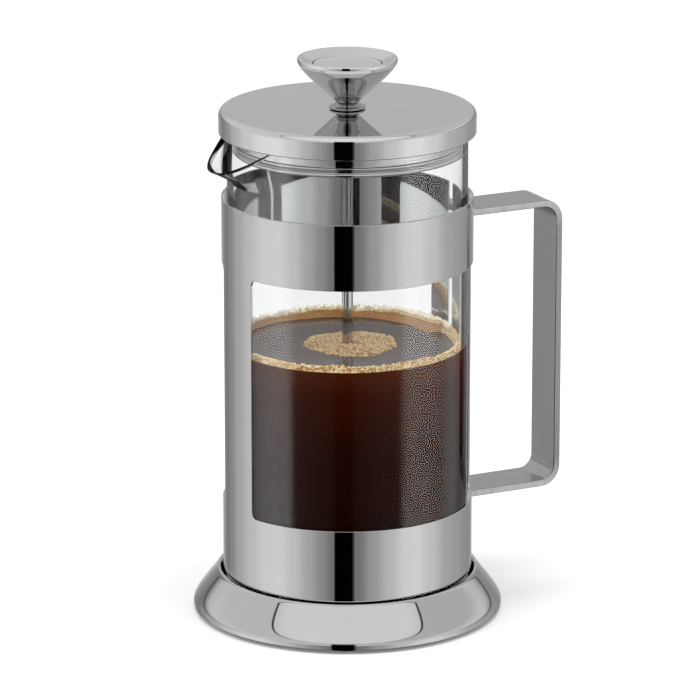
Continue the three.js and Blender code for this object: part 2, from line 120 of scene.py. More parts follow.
def make_camera():
    back = Vector((
        math.sin(VIEW_AZIMUTH) * math.cos(VIEW_ELEVATION),
        -math.cos(VIEW_AZIMUTH) * math.cos(VIEW_ELEVATION),
        math.sin(VIEW_ELEVATION),
    ))
    camera = placed("camera", bpy.data.cameras.new("camera"))
    camera.location = AIM + VIEW_DISTANCE * back
    camera.rotation_euler = (-back).to_track_quat("-Z", "Y").to_euler()
    camera.data.sensor_width = SENSOR
    camera.data.lens = LENS
    camera.data.shift_x = SHIFT_X
    camera.data.shift_y = SHIFT_Y
    camera.data.clip_end = 50
    bpy.context.scene.camera = camera


# ---- Node helpers ----


class Nodes:
    """Short calls for building one node tree."""

    def __init__(self, tree):
        self.tree = tree
        self.tree.nodes.clear()

    def add(self, kind, inputs=None, **settings):
        node = self.tree.nodes.new(kind)
        for key, value in settings.items():
            setattr(node, key, value)
        for key, value in (inputs or {}).items():
            socket = node.inputs[key]
            if isinstance(value, bpy.types.NodeSocket):
                self.tree.links.new(value, socket)
            else:
                socket.default_value = value
        return node

    def math(self, operation, a, b=0.0):
        return self.add("ShaderNodeMath", {0: a, 1: b}, operation=operation).outputs[0]

    def ramp(self, factor, stops, interpolation="LINEAR"):
        node = self.add("ShaderNodeValToRGB", {"Fac": factor})
        node.color_ramp.interpolation = interpolation
        elements = node.color_ramp.elements
        while len(elements) < len(stops):
            elements.new(0.5)
        for element, (place, colour) in zip(elements, stops):
            element.position = place
            element.color = (*colour, 1) if isinstance(colour, tuple) else (colour, colour, colour, 1)
        return node.outputs["Color"]

    def mix(self, factor, a, b):
        """From a to b as the factor goes from 0 to 1. A number is a grey."""
        node = self.add("ShaderNodeMix", {0: factor}, data_type="RGBA")
        for socket, value in ((node.inputs[6], a), (node.inputs[7], b)):
            if isinstance(value, bpy.types.NodeSocket):
                self.tree.links.new(value, socket)
            else:
                socket.default_value = (value, value, value, 1)
        return node.outputs[2]

    def noise(self, vector, scale, detail=2.0, roughness=0.5):
        node = self.add(
            "ShaderNodeTexNoise",
            {"Vector": vector, "Scale": scale, "Detail": detail, "Roughness": roughness},
        )
        return node.outputs["Fac"]

    def place(self):
        """Object coordinates, in metres."""
        return self.add("ShaderNodeTexCoord").outputs["Object"]

    def axes(self, vector):
        return self.add("ShaderNodeSeparateXYZ", {"Vector": vector}).outputs

    def stretched(self, scale):
        """Object coordinates, with each axis scaled on its own."""
        return self.add("ShaderNodeMapping", {"Vector": self.place(), "Scale": scale}).outputs["Vector"]

    def between(self, factor, least, most):
        """The factor's 0 to 1 as least to most."""
        inputs = {"Value": factor, "To Min": least, "To Max": most}
        return self.add("ShaderNodeMapRange", inputs).outputs["Result"]

    def fade(self, value, start, end):
        """0 to 1 as the value goes from start to end."""
        inputs = {"Value": value, "From Min": start, "From Max": end}
        return self.add("ShaderNodeMapRange", inputs).outputs["Result"]

    def bump(self, height, strength, distance):
        inputs = {"Height": height, "Strength": strength, "Distance": distance}
        return self.add("ShaderNodeBump", inputs).outputs["Normal"]

    def principled(self, inputs):
        return self.add("ShaderNodeBsdfPrincipled", inputs).outputs[0]


def material(name, build):
    made = bpy.data.materials.new(name)
    made.use_nodes = True
    nodes = Nodes(made.node_tree)
    shader = build(nodes)
    nodes.add("ShaderNodeOutputMaterial", {"Surface": shader})
    return made


def grey(value):
    """A neutral colour from its display value, up to 255."""
    return ((value / 255 + 0.055) / 1.055) ** 2.4


# ---- Materials ----


def steel(tone, roughness, streak):
    """Polished steel: a mirror with faint polishing haze and hair-fine scratches that run along streak."""
    def build(n):
        haze = n.noise(n.stretched((60, 60, 60)), 1.0, 4)
        lines = n.noise(n.stretched(streak), 1.0, 3, 0.6)
        darker, lighter = (tone * 0.97, tone * 0.97, tone * 0.98), (tone, tone, tone * 1.005)
        colour = n.ramp(haze, [(0.3, darker), (0.7, lighter)])
        rough = n.between(n.math("MULTIPLY", lines, haze), roughness * 0.6, roughness * 1.6)
        normal = n.bump(lines, 0.035, 0.02 * MM)
        return n.principled({
            "Base Color": colour, "Metallic": 1.0, "Roughness": rough, "Normal": normal,
        })
    return build


def satin(tone, roughness, streak, depth, darkest=0.86, ends=None):
    """Steel with a brushed grain along streak's small axis. darkest is the shade of its darkest lines.

    Its last argument, if given, is (middle, half, tone): the tone that it reaches at half from the middle
    height, a painted reflection that changes the tone towards the ends.
    """
    def build(n):
        grain = n.noise(n.stretched(streak), 1.0, 5, 0.65)
        cloud = n.noise(n.stretched((25, 25, 25)), 1.0, 3)
        shade = n.math("ADD", n.math("MULTIPLY", grain, 0.7), n.math("MULTIPLY", cloud, 0.3))
        colour = n.ramp(shade, [(0.3, tone * darkest), (0.7, tone)])
        # Painted reflection: towards the ends of the height the tone moves to another value, standing in for
        # what the arms reflect.
        if ends:
            middle, half, painted_end_tone = ends
            away = n.math("ABSOLUTE", n.math("SUBTRACT", n.axes(n.place())["Z"], middle))
            share = n.fade(away, 0.8 * half, half)
            colour = n.mix(share, colour, n.ramp(shade, [(0.3, painted_end_tone * darkest), (0.7, painted_end_tone)]))
        rough = n.between(grain, roughness * 0.8, roughness * 1.25)
        return n.principled({
            "Base Color": colour, "Metallic": 1.0, "Roughness": rough, "Normal": n.bump(grain, 0.25, depth),
        })
    return build


def moulded(colour, roughness, grain, height):
    """Moulded plastic or rubber with a fine pebble and slight cloudiness."""
    def build(n):
        cloud = n.noise(n.stretched((40, 40, 40)), 1.0, 3)
        pebble = n.noise(n.stretched((grain, grain, grain)), 1.0, 2)
        dark = tuple(c * 0.8 for c in colour)
        return n.principled({
            "Base Color": n.ramp(cloud, [(0.3, dark), (0.7, colour)]),
            "Roughness": n.between(pebble, roughness * 0.85, roughness * 1.15),
            "Normal": n.bump(pebble, 0.4, height),
        })
    return build


GLASS_IOR = 1.42
GLASS_SHINE = 0.35


def glass(n):
    """Blown glass with a trace of wave and fine wipe marks. It keeps GLASS_SHINE of its reflection."""
    wave = n.noise(n.stretched((9, 9, 5)), 1.0, 1)
    wipes = n.noise(n.stretched((90, 90, 25)), 1.0, 4)
    tint = n.ramp(wipes, [(0.3, (0.975, 0.982, 0.98)), (0.7, (0.99, 0.995, 0.993))])
    shared = {"IOR": GLASS_IOR, "Normal": n.bump(wave, 0.05, 0.4 * MM)}
    coated = n.add("ShaderNodeBsdfRefraction", {"Color": tint, "Roughness": 0.0, **shared}).outputs[0]
    bare = n.principled({
        "Base Color": tint, "Roughness": n.between(wipes, 0.0, 0.004), "Transmission Weight": 1.0, **shared,
    })
    return n.add("ShaderNodeMixShader", {0: GLASS_SHINE, 1: coated, 2: bare}).outputs[0]


def woven(n):
    """Woven steel wire: two crossed families of fine ridges."""
    axes = n.axes(n.place())
    wire_pitch = 0.45 * MM
    warp, weft, rise = (n.math("SINE", n.math("MULTIPLY", axes[axis], TURN / wire_pitch)) for axis in "XYZ")
    weave = n.math("MAXIMUM", n.math("MULTIPLY", warp, weft), n.math("MULTIPLY", rise, 0.8))
    height = n.between(weave, 0.0, 1.0)
    # The colour darkens in the weave's low points: painted shade between the wires.
    return n.principled({
        "Base Color": n.ramp(height, [(0.35, 0.08), (0.75, 0.62)]),
        "Metallic": 1.0,
        "Roughness": n.between(height, 0.55, 0.25),
        "Normal": n.bump(height, 0.9, 0.12 * MM),
    })


def coffee_side(n):
    """Strong coffee behind glass: near black, lighter and redder towards its surface, which is painted light
    near the top.
    """
    cloud = n.noise(n.stretched((14, 14, 10)), 1.0, 3)
    # Painted light: the colour lightens and reddens towards the surface, as if lit from the top.
    depth = n.fade(n.axes(n.place())["Z"], 20 * MM, COFFEE_Z)
    shade = n.math("ADD", depth, n.math("MULTIPLY", n.math("SUBTRACT", cloud, 0.5), 0.25))
    colour = n.ramp(shade, [
        (0.0, (0.012, 0.0024, 0.0013)),
        (0.6, (0.017, 0.0028, 0.0014)),
        (0.88, (0.038, 0.0048, 0.0017)),
        (1.0, (0.078, 0.015, 0.004)),
    ])
    return n.principled({
        "Base Color": colour,
        "Roughness": n.between(cloud, 0.4, 0.5),
        "Specular IOR Level": 0.0,
    })


def coffee_top(n):
    """The surface of the coffee, with a thin film that clouds its reflections."""
    swirl = n.noise(n.stretched((45, 45, 45)), 1.0, 5, 0.6)
    return n.principled({
        "Base Color": n.ramp(swirl, [(0.35, (0.045, 0.020, 0.014)), (0.7, (0.100, 0.052, 0.040))]),
        "Roughness": n.between(swirl, 0.05, 0.2),
        "IOR": 1.45,
        "Normal": n.bump(swirl, 0.12, 0.3 * MM),
    })


def foam(light, dark, scale):
    """Coffee foam: tan, with darker seams between its small bubbles, partly the wetter coffee there and partly
    painted shade in the hollows.
    """
    def build(n):
        cells = n.add("ShaderNodeTexVoronoi", {"Vector": n.place(), "Scale": scale, "Randomness": 1.0})
        cloud = n.noise(n.stretched((90, 90, 90)), 1.0, 3)
        distance = cells.outputs["Distance"]
        # Darker towards the edges of each cell, where the bump sinks: painted shade between the bubbles, over
        # the wetter coffee there.
        shade = n.math("ADD", n.math("MULTIPLY", distance, 0.8), n.math("MULTIPLY", cloud, 0.5))
        return n.principled({
            "Base Color": n.ramp(shade, [(0.25, light), (0.8, dark)]),
            "Roughness": n.between(cloud, 0.25, 0.45),
            "Subsurface Weight": 0.25,
            "Subsurface Radius": (1.0, 0.6, 0.3),
            "Subsurface Scale": 1.0 * MM,
            "Normal": n.bump(distance, -0.6, 0.4 * MM),
        })
    return build


MATERIALS = {
    name: material(name, build)
    for name, build in {
        "polished_sleeve": steel(0.70, 0.03, (700, 700, 14)),
        # The lid, the pan, the knob and its disc take lighter copies of the same steel than the sleeve and the
        # foot: painted light.
        "polished_lid": steel(0.81, 0.03, (500, 500, 500)),
        "polished_pan": steel(0.76, 0.03, (500, 500, 500)),
        "polished_foot": steel(0.70, 0.03, (500, 500, 500)),
        "polished_knob": steel(0.88, 0.04, (500, 500, 900)),
        "polished_disc": steel(0.97, 0.05, (500, 500, 500)),
        # A darker copy of the knob's steel for its cone: painted shade.
        "polished_cone_shaded": steel(0.57, 0.04, (500, 500, 900)),
        # A darker copy of the steel for the bushing under the knob: painted shade.
        "polished_neck_shaded": steel(0.42, 0.06, (500, 500, 900)),
        "polished_rod": steel(0.72, 0.06, (900, 900, 40)),
        "satin_handle": satin(0.50, 0.20, (18, 2600, 18), 0.03 * MM),
        # A darker copy of the handle's satin for its edge faces, painted shade, turning lighter towards the
        # arms as a painted reflection.
        "satin_edge_shade_and_sheen": satin(0.37, 0.13, (240, 60, 24), 0.01 * MM, 0.74, (HANDLE_Z, HANDLE_HALF, 0.66)),
        "plain_steel": satin(0.60, 0.28, (900, 900, 900), 0.02 * MM),
        "filter_steel": satin(0.66, 0.22, (900, 900, 60), 0.02 * MM),
        "filter_mesh": woven,
        "beaker_glass": glass,
        "black_plastic": moulded((0.012, 0.012, 0.013), 0.45, 2500, 0.05 * MM),
        "rubber_pad": moulded((0.018, 0.018, 0.019), 0.75, 1800, 0.08 * MM),
        "silicone": moulded((0.62, 0.62, 0.60), 0.55, 1500, 0.04 * MM),
        "coffee_side": coffee_side,
        "coffee_top": coffee_top,
        "foam_tan": foam((0.84, 0.72, 0.49), (0.52, 0.36, 0.17), 900),
        # Near white for the larger bubbles behind: painted highlight on their lit tops.
        "foam_white_highlight": foam((0.97, 0.94, 0.88), (0.90, 0.80, 0.64), 500),
        "foam_pale": foam((0.74, 0.62, 0.44), (0.46, 0.31, 0.16), 1100),
        # The bed between the bubbles: darker brown, partly the wetter coffee and partly painted shade in the
        # gaps between bubbles.
        "foam_seam_shade": foam((0.52, 0.30, 0.13), (0.26, 0.12, 0.04), 1400),
    }.items()
}

# ---- Mesh helpers ----


def mesh_object(name, vertices, faces, materials, smooth=40):
    """A mesh object with smooth shading, apart from edges sharper than smooth degrees."""
    data = bpy.data.meshes.new(name)
    data.from_pydata(vertices, [], faces)
    made = bmesh.new()
    made.from_mesh(data)
    bmesh.ops.remove_doubles(made, verts=made.verts, dist=1e-7)
    bmesh.ops.recalc_face_normals(made, faces=made.faces)
    made.to_mesh(data)
    made.free()
    data.polygons.foreach_set("use_smooth", [True] * len(data.polygons))
    data.set_sharp_from_angle(angle=math.radians(smooth))
    for key in materials:
        data.materials.append(MATERIALS[key])
    return placed(name, data)


def weigh_normals(piece):
    """Gives the large faces their true normals, so that narrow roundings take all of the turn."""
    modifier = piece.modifiers.new("weighted", "WEIGHTED_NORMAL")
    modifier.mode = "FACE_AREA"
    modifier.weight = 100
    modifier.keep_sharp = True
    return piece


def bevel(piece, width, segments=2, angle=35):
    modifier = piece.modifiers.new("bevel", "BEVEL")
    modifier.width = width
    modifier.segments = segments
    modifier.limit_method = "ANGLE"
    modifier.angle_limit = math.radians(angle)
    piece.data.set_sharp_from_angle(angle=math.pi)
    return weigh_normals(piece)


def arc(r, z, radius, start, end, steps=8):
    """Points of a profile along an arc, angles in degrees."""
    angles = [math.radians(start + (end - start) * i / steps) for i in range(steps + 1)]
    return [(r + radius * math.cos(a), z + radius * math.sin(a)) for a in angles]


def curve(points, steps):
    """Points of a cubic curve through its four control points, with no fillet."""
    a, b, c, d = (Vector(p) for p in points)
    shares = [i / steps for i in range(steps + 1)]
    spots = [
        (1 - t) ** 3 * a + 3 * (1 - t) ** 2 * t * b + 3 * (1 - t) * t * t * c + t ** 3 * d
        for t in shares
    ]
    return [(spot.x, spot.y, 0) for spot in spots]


def rounded(corners, steps=6):
    """A closed profile from (r, z, fillet) corners. A fillet of 0 leaves a corner as it is."""
    points = []
    for i, (r, z, fillet) in enumerate(corners):
        here = Vector((r, z))
        if not fillet:
            points.append((r, z))
            continue
        before = Vector(corners[i - 1][:2]) - here
        after = Vector(corners[(i + 1) % len(corners)][:2]) - here
        half = before.angle(after) / 2
        reach = min(fillet / math.tan(half), 0.48 * before.length, 0.48 * after.length)
        radius = reach * math.tan(half)
        start, end = here + before.normalized() * reach, here + after.normalized() * reach
        centre = here + (before.normalized() + after.normalized()).normalized() * (radius / math.sin(half))
        first = math.atan2(*(start - centre).yx)
        sweep = (math.atan2(*(end - centre).yx) - first + math.pi) % TURN - math.pi
        angles = [first + sweep * s / steps for s in range(steps + 1)]
        points += [(centre.x + radius * math.cos(a), centre.y + radius * math.sin(a)) for a in angles]
    return points


def lathe(name, profile, materials, sides=192, shape=None, smooth=40):
    """Turns a closed profile of (radius, height) points about +Z. shape, if given, moves each vertex."""
    vertices, faces = [], []
    count = len(profile)
    for s in range(sides):
        a = TURN * s / sides
        for r, z in profile:
            point = (r * math.cos(a), r * math.sin(a), z)
            vertices.append(shape(*point) if shape else point)
    for s in range(sides):
        here, there = s * count, (s + 1) % sides * count
        for i in range(count):
            j = (i + 1) % count
            if profile[i][0] or profile[j][0]:
                faces.append((here + i, here + j, there + j, there + i))
    return weigh_normals(mesh_object(name, vertices, faces, materials, smooth))


def circle(radius, sides, x=0.0, y=0.0):
    angles = [TURN * i / sides for i in range(sides)]
    return [(x + radius * math.cos(a), y + radius * math.sin(a)) for a in angles]


def ring_faces(loops, around):
    """The quads of a closed ring of closed loops, with around points in each."""
    faces = []
    for i in range(loops):
        here, there = i * around, (i + 1) % loops * around
        for k in range(around):
            m = (k + 1) % around
            faces.append((here + k, here + m, there + m, there + k))
    return faces


def plate(name, outline, holes, bottom, top, materials, edge=0.15 * MM):
    """A flat plate between two heights, with holes, and slightly rounded edges."""
    loops = [outline, *holes]
    flat = [Vector((x, y, 0)) for loop in loops for x, y in loop]
    triangles = tessellate_polygon([[Vector((x, y, 0)) for x, y in loop] for loop in loops])
    count = len(flat)
    vertices = [(p.x, p.y, bottom) for p in flat] + [(p.x, p.y, top) for p in flat]
    faces = [tuple(t) for t in triangles] + [tuple(i + count for i in t) for t in triangles]
    start = 0
    for loop in loops:
        for i in range(len(loop)):
            a, b = start + i, start + (i + 1) % len(loop)
            faces.append((a, b, b + count, a + count))
        start += len(loop)
    return bevel(mesh_object(name, vertices, faces, materials), edge, 2)


def stands_for(piece, body, slot, *nodes):
    """The piece rides on its body and takes the place of its CAD nodes."""
    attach(piece, body)
    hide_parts(*nodes)
    return piece


# ---- Frame: sleeve, handle and foot ----


def build_sleeve():
    """A rolled sheet with two windows and a slit, as columns of quads between its edges."""
    rear = math.asin(REAR_STRIP / 2 / SLEEVE_R)
    front = math.pi - math.asin(FRONT_STRIP / 2 / SLEEVE_R)
    slit = math.asin(REAR_SLIT / 2 / SLEEVE_R)
    corner = WINDOW_CORNER / SLEEVE_R
    low_z, high_z = WINDOW_Z
    bottom, top = SLEEVE_Z
    corner_steps = 8

    def evenly(start, end, step=math.radians(1.5)):
        count = max(1, round((end - start) / step))
        return [start + (end - start) * i / count for i in range(count + 1)]

    def rounding(share):
        """How far the window's edge is from its straight line, for a place in the corner."""
        return WINDOW_CORNER * (1 - math.sqrt(1 - (1 - share) ** 2))

    turns = [(1 - math.cos(math.pi / 2 * i / corner_steps)) for i in range(corner_steps + 1)]
    near = [(rear + corner * t, rounding(t)) for t in turns]
    far = [(front - corner * t, rounding(t)) for t in reversed(turns)]
    middle = [(a, 0.0) for a in evenly(near[-1][0], far[0][0])[1:-1]]
    window = near + middle + far
    vertices, faces, index = [], [], {}

    def vertex(angle, z, outside):
        key = (round(angle, 6), round(z, 7), outside)
        if key not in index:
            radius = SLEEVE_R if outside else SLEEVE_R - SLEEVE_WALL
            index[key] = len(vertices)
            vertices.append((radius * math.cos(angle), radius * math.sin(angle), z))
        return index[key]

    edges = {}

    def panel(a, b, za, zb, ya, yb):
        """A patch from angle a to b, between heights za..ya at a and zb..yb at b, inside and out."""
        corners = [(a, za), (b, zb), (b, yb), (a, ya)]
        faces.append([vertex(*c, True) for c in corners])
        faces.append([vertex(*c, False) for c in reversed(corners)])
        for i in range(4):
            pair = frozenset((corners[i], corners[(i + 1) % 4]))
            edges[pair] = edges.get(pair, 0) + 1

    rows = [bottom, low_z + WINDOW_CORNER, high_z - WINDOW_CORNER, top]
    for side in (1, -1):
        for strip in (evenly(slit, rear), evenly(front, math.pi)):
            for a, b in zip(strip, strip[1:]):
                for z, y in zip(rows, rows[1:]):
                    panel(side * a, side * b, z, z, y, y)
        for (a, da), (b, db) in zip(window, window[1:]):
            panel(side * a, side * b, bottom, bottom, low_z + da, low_z + db)
            panel(side * a, side * b, high_z - da, high_z - db, top, top)
    for pair, count in edges.items():
        ends = list(pair)
        at_back = all(abs(abs(angle) - math.pi) < 1e-6 for angle, _ in ends)
        if count == 1 and not at_back:
            (a, z), (b, y) = ends
            faces.append([vertex(a, z, True), vertex(b, y, True), vertex(b, y, False), vertex(a, z, False)])
    sleeve = mesh_object("sleeve", vertices, faces, ["polished_sleeve"])
    bevel(sleeve, 0.2 * MM, 3, 45)
    # Mirrors don't see it, so the glass mirrors the soft boxes up to the edge of each window.
    sleeve.visible_glossy = False
    stands_for(sleeve, "frame", "polished_sleeve", "frame_sleeve")


def build_handle():
    """A flat bar bent into a C, with its edges eased."""
    start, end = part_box("handle")
    bar = 2.8 * MM
    corner = 8.5 * MM
    x0, x1, z0, z1 = start.x, end.x, start.z, end.z

    def outline(inset):
        """The bar's outer line, or its inner line at the bar's thickness inside it."""
        lower = arc(x1 - corner, z0 + corner, corner - inset, -90, 0, 20)
        upper = arc(x1 - corner, z1 - corner, corner - inset, 0, 90, 20)
        return [(x0, z0 + inset), *lower, *upper, (x0, z1 - inset)]

    outer, inner = outline(0.0), outline(bar)
    vertices, faces = [], []
    for y in (start.y, end.y):
        vertices += [(x, y, z) for x, z in outer] + [(x, y, z) for x, z in inner]
    count = len(outer)
    far = 2 * count
    strips = ((0, count), (far, far + count), (0, far), (count, far + count))
    for i in range(count - 1):
        faces += [(a + i, a + i + 1, b + i + 1, b + i) for a, b in strips]
    faces += [(i, count + i, far + count + i, far + i) for i in (0, count - 1)]
    handle = mesh_object("handle_bar", vertices, faces, ["satin_handle"])
    # The edge faces take the darker copy of the satin: painted shade, with a painted reflection towards the
    # arms.
    handle.data.materials.append(MATERIALS["satin_edge_shade_and_sheen"])
    for face in handle.data.polygons:
        face.material_index = 1 if abs(face.normal.y) > 0.9 else 0
    bevel(handle, 0.35 * MM, 3, 45)
    stands_for(handle, "frame", "satin_handle", "handle")


def build_foot():
    """A spun shell: rolled lip, flare, rounded edge and a hem turned in underneath."""
    foot_r = high("foot_ring").x
    bottom, top = low("foot_ring").z, high("foot_ring").z
    wall = 0.8 * MM
    lip = SLEEVE_R + 0.8 * MM
    hem = foot_r - 5.3 * MM
    flare = curve([
        (foot_r, bottom + 2.0 * MM),
        (foot_r, bottom + 4.2 * MM),
        (lip + 5.8 * MM, top - 6.0 * MM),
        (lip + 1.8 * MM, top - 0.8 * MM),
    ], 24)
    shell = rounded([
        (hem, bottom, 0.2 * MM),
        (foot_r - 0.02 * MM, bottom, 1.8 * MM),
        *flare,
        (lip + 1.5 * MM, top, 0.6 * MM),
        (lip + 0.5 * MM, top, 0.6 * MM),
        (lip, top - 0.7 * MM, 0.4 * MM),
        (lip, top - 2.4 * MM, 0.2 * MM),
        (foot_r - 3.0 * MM, bottom + 4.4 * MM, 1.2 * MM),
        (foot_r - 2.4 * MM, bottom + wall, 0.8 * MM),
        (hem, bottom + wall, 0.2 * MM),
    ], 10)
    foot = lathe("foot", shell, ["polished_foot"], 256, smooth=60)
    stands_for(foot, "frame", "polished_foot", "foot_ring")


def build_floor():
    """The floor plate, the ring that the glass stands on, and the pad under the press."""
    z0, z1 = low("floor_plate").z, high("floor_plate").z
    screw_circle = 16 * MM
    screw_hole = 2.3 * MM
    holes = [circle(screw_hole, 24, x, y) for x, y in circle(screw_circle, 3)]
    floor_plate = plate("bottom_plate", circle(high("floor_plate").x, 160), holes, z0, z1, ["plain_steel"])
    stands_for(floor_plate, "frame", "plain_steel", "floor_plate")
    z0, z1 = low("glass_cushion").z, high("glass_cushion").z
    inner, outer = 24 * MM, high("glass_cushion").x
    under, over = 0.3 * MM, 0.9 * MM
    ring = rounded([(inner, z0, under), (outer, z0, under), (outer, z1, over), (inner, z1, over)])
    stands_for(lathe("cushion_ring", ring, ["silicone"]), "frame", "silicone", "glass_cushion")
    z1 = high("base_pad").z
    outer = high("base_pad").x
    groove = 0.25 * MM
    ridges = []
    for i in range(9):
        r = 8 * MM + i * 5.2 * MM
        ridges += [(r, groove, 0), (r + 0.6 * MM, 0.0, 0), (r + 3.8 * MM, 0.0, 0), (r + 4.4 * MM, groove, 0)]
    pad = rounded([(0, groove, 0), *ridges, (outer, groove, 0.1 * MM), (outer, z1, 0.3 * MM), (0, z1, 0)], 4)
    stands_for(lathe("pad", pad, ["rubber_pad"]), "frame", "rubber_pad", "base_pad")


# ---- Beaker and coffee ----


def spout_weight(x, y, half_angle):
    away = abs(math.atan2(y, -x)) / half_angle
    return math.cos(away * math.pi / 2) ** 2 if away < 1 else 0.0


def pull_spout(x, y, z):
    """Moves a point of the round wall to its place in the spout."""
    share = (z - (GLASS_Z[1] - SPOUT_RISE)) / SPOUT_RISE
    radius = math.hypot(x, y)
    if share <= 0 or radius < 1e-9:
        return x, y, z
    pulled = SPOUT_REACH * share ** 1.4 * spout_weight(x, y, SPOUT_REACH_ANGLE)
    dropped = SPOUT_DIP * share * spout_weight(x, y, SPOUT_DIP_ANGLE)
    scale = (radius + pulled) / radius
    return x * scale, y * scale, z - dropped


def build_glass():
    floor_z, rim_z = GLASS_Z
    corner = GLASS_CORNER
    inner_corner = GLASS_CORNER - GLASS_WALL
    spout_z = rim_z - SPOUT_RISE
    bead = GLASS_WALL / 2
    steps = 14
    rise = [spout_z + (SPOUT_RISE - bead - 0.2 * MM) * i / steps for i in range(steps + 1)]
    outside = [(0, floor_z)] + arc(GLASS_R - corner, floor_z + corner, corner, -90, 0, 12)
    outside += [(GLASS_R, z) for z in rise]
    rim = arc(GLASS_R - bead, rim_z - bead, bead, 0, 180, 10)
    inside = [(GLASS_INNER_R, z) for z in reversed(rise)]
    inside += arc(GLASS_R - corner, floor_z + GLASS_FLOOR + inner_corner, inner_corner, 0, -90, 12)
    inside += [(0, floor_z + GLASS_FLOOR)]
    beaker = lathe("beaker", outside + rim + inside, ["beaker_glass"], 288, pull_spout, 70)
    beaker.modifiers.clear()
    beaker.visible_shadow = False
    stands_for(beaker, "beaker", "beaker_glass", "glass_beaker")


def build_coffee():
    """The coffee fills the glass to its level, with a narrow meniscus. It overlaps the glass slightly."""
    floor_z = GLASS_Z[0] + GLASS_FLOOR
    radius = GLASS_INNER_R + 0.05 * MM
    corner = GLASS_CORNER - GLASS_WALL
    side = [(0, floor_z - 0.05 * MM)] + arc(radius - corner, floor_z + corner, corner, -90, 0, 8)
    side += [(radius, COFFEE_Z + 0.9 * MM)]
    surface = [(radius - 0.8 * MM, COFFEE_Z + 0.15 * MM), (radius - 2.0 * MM, COFFEE_Z), (0, COFFEE_Z)]
    coffee = lathe("coffee", side + surface, ["coffee_side", "coffee_top"], 192)
    coffee.modifiers.clear()
    for face in coffee.data.polygons:
        face.material_index = 1 if face.center.z > COFFEE_Z - 0.5 * MM and face.normal.z > 0.3 else 0
    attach(coffee, "beaker")


def blob(vertices, faces, centre, radius):
    """Adds a small sphere to the lists."""
    start = len(vertices)
    x, y, z = centre
    for px, py, pz in SPHERE[0]:
        vertices.append((x + radius * px, y + radius * py, z + radius * pz))
    faces.extend(tuple(start + i for i in f) for f in SPHERE[1])


def unit_sphere(divisions):
    """The points and faces of an icosphere."""
    made = bmesh.new()
    bmesh.ops.create_icosphere(made, subdivisions=divisions, radius=1)
    points = [tuple(v.co) for v in made.verts]
    triangles = [tuple(v.index for v in f.verts) for f in made.faces]
    made.free()
    return points, triangles


SPHERE = unit_sphere(2)


def foam_width(a):
    """How far the collar of foam reaches in from the glass. It is widest on the handle's side."""
    wide = max(0.0, math.cos((a - FOAM_WIDEST) / 2)) ** 5
    return (2.4 + 6.0 * wide + 0.5 * math.sin(5 * a + 1) + 0.35 * math.sin(13 * a)) * MM


def scatter(draw, count, spot, bed, size, name, keys):
    """One mesh of bubbles, half sunk in a smooth bed. keys: the bed's material, the bubbles' material."""
    vertices, faces = [list(points) for points in bed]
    bed_faces = len(faces)
    for _ in range(count):
        radius = draw.uniform(*size)
        blob(vertices, faces, spot(draw, radius), radius)
    piece = mesh_object(name, vertices, faces, keys, 180)
    for face in piece.data.polygons:
        face.material_index = 0 if face.index < bed_faces else 1
    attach(piece, "beaker")
    return piece


def build_collar(draw):
    """A collar of small bubbles along the glass, with larger ones behind."""
    glass = GLASS_INNER_R - 0.02 * MM
    wall = glass - 0.45 * MM
    rise = 3.3 * MM
    rings, around = 360, 12
    vertices = []

    def collar_point(a, share):
        """A point of the collar's rounded top, from the glass (share 0) to the coffee (share 1)."""
        width = foam_width(a)
        wavy = 1 + 0.12 * math.sin(9 * a + 2) + 0.08 * math.sin(23 * a)
        lift = rise * wavy * (1 - share ** 2.2) * (1 - 0.35 * share)
        return wall - width * share, COFFEE_Z - 0.2 * MM + lift

    for i in range(rings):
        a = TURN * i / rings
        loop = [collar_point(a, k / (around - 2)) for k in range(around - 1)]
        ripple = math.sin(11 * a) * math.sin(4 * a) + 0.5 * math.sin(37 * a + 1)
        loop.append((wall, COFFEE_Z - 1.5 * MM - 0.35 * MM * ripple))
        vertices += [(r * math.cos(a), r * math.sin(a), z) for r, z in loop]

    def on_collar(draw, radius):
        a = draw.uniform(0, TURN)
        far = abs((a - FOAM_BEHIND + math.pi) % TURN - math.pi) < math.radians(65)
        r, z = collar_point(a, draw.random() ** 0.8 * (0.35 if far else 1.0))
        return r * math.cos(a) * 0.994, r * math.sin(a) * 0.994, z

    def on_glass(draw, radius):
        a = draw.uniform(0, TURN)
        r = glass - radius
        z = COFFEE_Z + draw.uniform(-1.5 * MM - 0.3 * MM * math.sin(11 * a) * math.sin(4 * a), rise)
        return r * math.cos(a), r * math.sin(a), z

    def behind(draw, radius):
        a = FOAM_BEHIND + draw.uniform(-1.25, 1.25)
        r = glass - radius - draw.uniform(0.0, 0.5) * MM
        return r * math.cos(a), r * math.sin(a), COFFEE_Z + rise + draw.uniform(-1.0, 0.8) * MM

    bed, none = (vertices, ring_faces(rings, around)), ([], [])
    scatter(draw, 2600, on_collar, bed, (0.35 * MM, 0.62 * MM), "foam_collar", ["foam_seam_shade", "foam_tan"])
    scatter(draw, 2100, on_glass, none, (0.34 * MM, 0.60 * MM), "foam_edge", ["foam_seam_shade", "foam_tan"])
    # The larger bubbles behind take the near-white foam: painted highlight.
    scatter(draw, 420, behind, none, (0.5 * MM, 1.0 * MM), "foam_bubbles", ["foam_seam_shade", "foam_white_highlight"])


